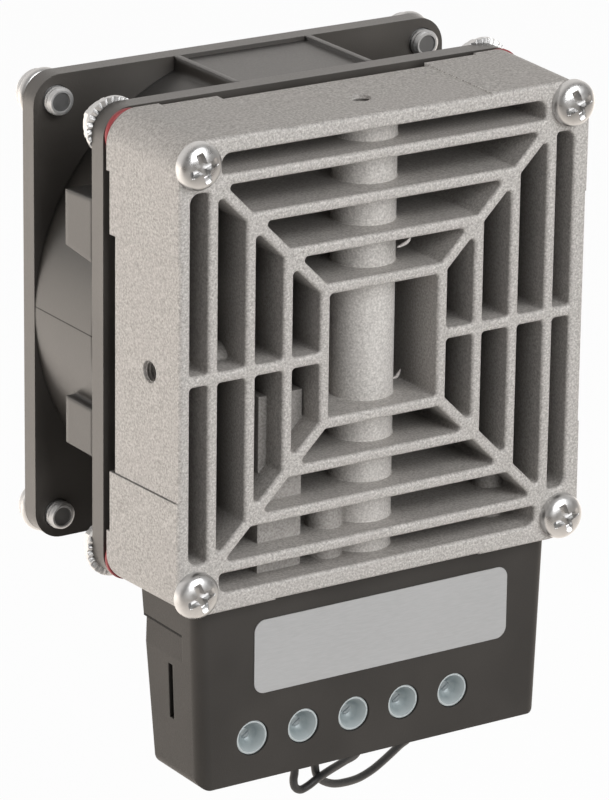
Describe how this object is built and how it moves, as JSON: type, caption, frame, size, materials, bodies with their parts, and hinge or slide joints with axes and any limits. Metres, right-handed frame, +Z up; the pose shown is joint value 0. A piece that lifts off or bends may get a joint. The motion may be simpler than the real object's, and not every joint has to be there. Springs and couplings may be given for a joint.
{
  "type": "enclosure fan heater",
  "caption": "Small enclosure heater: ribbed die-cast grille block with a heating cartridge, axial fan bolted behind it and a terminal box hung below.",
  "frame": {"origin": "mouth of the tapped hole in the top of the casting, on its axis", "axes": "X to the right seen from the grille, Y from the grille to the fan, Z up"},
  "size_m": [0.0815, 0.054, 0.1246],
  "materials": {
    "cast_alloy": "sandblasted die-cast alloy",
    "zinc_steel": "bright zinc plated",
    "bare_steel": "bare steel",
    "red_washer": "matt soft washer",
    "fan_black": "satin moulded",
    "box_black": "fine satin texture",
    "copper_wire": "enamelled copper",
    "silver_plate": "satin silver sheet",
    "lead_black": "soft sleeve"
  },
  "bodies": {
    "heater": {"heater_casting": "cast_alloy", "heating_cartridge": "bare_steel", "thermal_limiter": "box_black", "corner_washers": "red_washer", "clamp_screws": "zinc_steel", "clamp_nuts": "zinc_steel", "fan_front_flange": "fan_black", "fan_duct": "fan_black", "fan_rear_flange": "fan_black", "fan_motor_mount": "fan_black", "fan_stator": "bare_steel", "fan_windings": "copper_wire", "fan_bearings": "bare_steel", "finger_guard": "zinc_steel", "guard_screws": "zinc_steel", "terminal_cover": "box_black", "terminal_base": "box_black", "terminal_clamps": "zinc_steel", "terminal_cups": "zinc_steel", "terminal_screws": "bare_steel", "base_screws": "zinc_steel", "blank_plate": "silver_plate", "fan_lead_left": "lead_black", "fan_lead_right": "lead_black"},
    "impeller": {"fan_impeller": "fan_black", "fan_shaft": "bare_steel", "shaft_clip": "bare_steel", "rotor_ring": "bare_steel"}
  },
  "joints": [
    {"name": "impeller_spin", "type": "hinge", "parent": "heater", "child": "impeller", "pos_m": [0, 0.0261, -0.03944], "axis": [0, 1, 0], "continuous": true}
  ]
}
